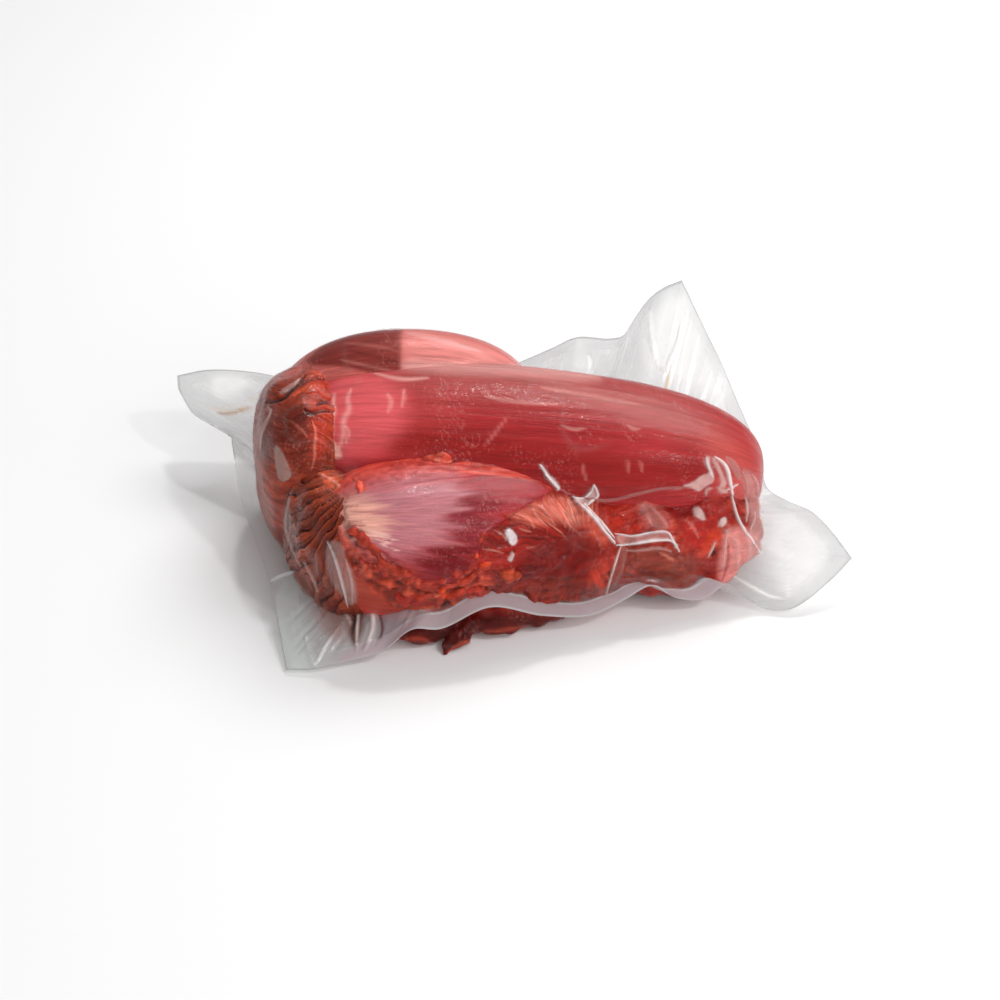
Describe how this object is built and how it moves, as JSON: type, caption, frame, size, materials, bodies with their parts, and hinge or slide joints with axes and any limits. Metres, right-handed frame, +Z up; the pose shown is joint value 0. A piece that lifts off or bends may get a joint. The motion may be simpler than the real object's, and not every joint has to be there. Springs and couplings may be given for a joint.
{
  "type": "vacuum packed beef joint",
  "caption": "Raw boneless joint of beef shrunk tight in a clear vacuum pouch, with a waving front weld and flared corner ears.",
  "frame": {"origin": "on the surface it rests on, under the middle of the pack's bounding box", "axes": "+X along the pouch's long edges, towards the round end of the meat; +Y from the waving front weld to the back; +Z up"},
  "size_m": [0.2664, 0.2044, 0.0921],
  "materials": {
    "raw_meat": "raw beef under wet, tightly drawn film",
    "clear_film": "clear glossy barrier film, milky where it is welded"
  },
  "bodies": {
    "root": {"meat": "raw_meat", "pouch": "clear_film"}
  },
  "joints": []
}
